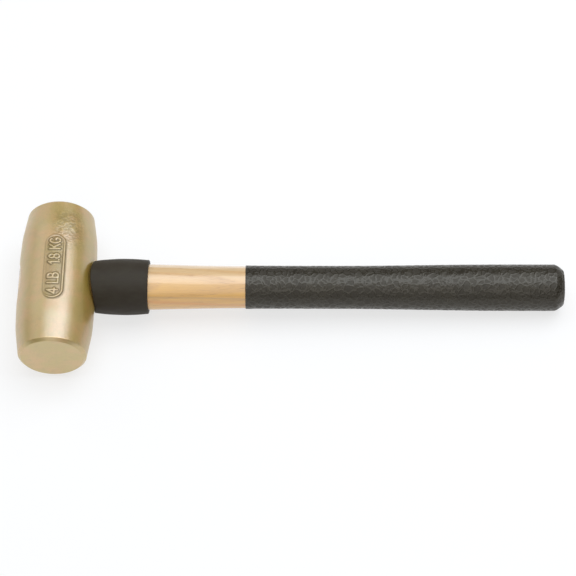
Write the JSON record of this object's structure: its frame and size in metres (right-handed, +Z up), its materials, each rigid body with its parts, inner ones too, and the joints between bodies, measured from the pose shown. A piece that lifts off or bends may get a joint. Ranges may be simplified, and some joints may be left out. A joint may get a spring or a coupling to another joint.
{
  "type": "brass hammer",
  "caption": "Barrel-shaped cast brass hammer head wedged on a hickory handle, with a rubber collar under the head and a textured black grip sleeve.",
  "frame": {"origin": "middle of the hammer's footprint on the bench, where it lies on the head's belly and the butt", "axes": "+X along the handle towards the butt, +Y towards the far striking face, +Z up, towards the cheek with the raised panel"},
  "size_m": [0.3811, 0.1164, 0.0546],
  "materials": {
    "head_brass": "satin as-cast brass",
    "handle_wood": "lacquered hickory",
    "collar_rubber": "matte black rubber",
    "grip_sleeve": "crackled black shrink sleeve",
    "wedge_wood": "bare wood",
    "wedge_steel": "ground steel"
  },
  "bodies": {
    "root": {"head": "head_brass", "handle": "handle_wood", "collar": "collar_rubber", "grip": "grip_sleeve", "eye_wedge": "wedge_wood", "cross_wedge_near": "wedge_steel", "cross_wedge_far": "wedge_steel"}
  },
  "joints": []
}
